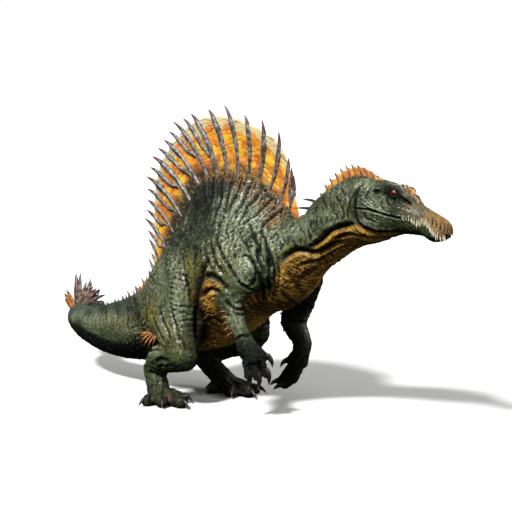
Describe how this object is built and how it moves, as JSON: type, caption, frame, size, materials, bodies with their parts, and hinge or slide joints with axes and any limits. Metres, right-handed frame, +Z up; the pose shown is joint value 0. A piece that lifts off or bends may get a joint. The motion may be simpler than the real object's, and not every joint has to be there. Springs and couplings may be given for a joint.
{
  "type": "spinosaurus_figure",
  "caption": "Solid display figure of a spinosaurus standing on its hind legs: long narrow snout, tall ribbed back sail, clawed hands and feet, tail curving to the left.",
  "frame": {"origin": "on the ground under the middle of the figure's bounding box", "axes": "+X from the tail towards the snout, +Y to the animal's left side, +Z up"},
  "size_m": [0.3693, 0.1227, 0.193],
  "materials": {
    "skin": "cast resin, hand painted grey green over ochre, wrinkled, satin varnish",
    "sail": "cast resin web, hand painted orange with grey ribs and a pale margin, satin varnish",
    "eye": "red enamel under gloss varnish"
  },
  "bodies": {
    "root": {"body": "skin", "leg_right": "skin", "leg_left": "skin", "arm_right": "skin", "arm_left": "skin", "sail": "sail", "eye_right": "eye", "eye_left": "eye"}
  },
  "joints": []
}
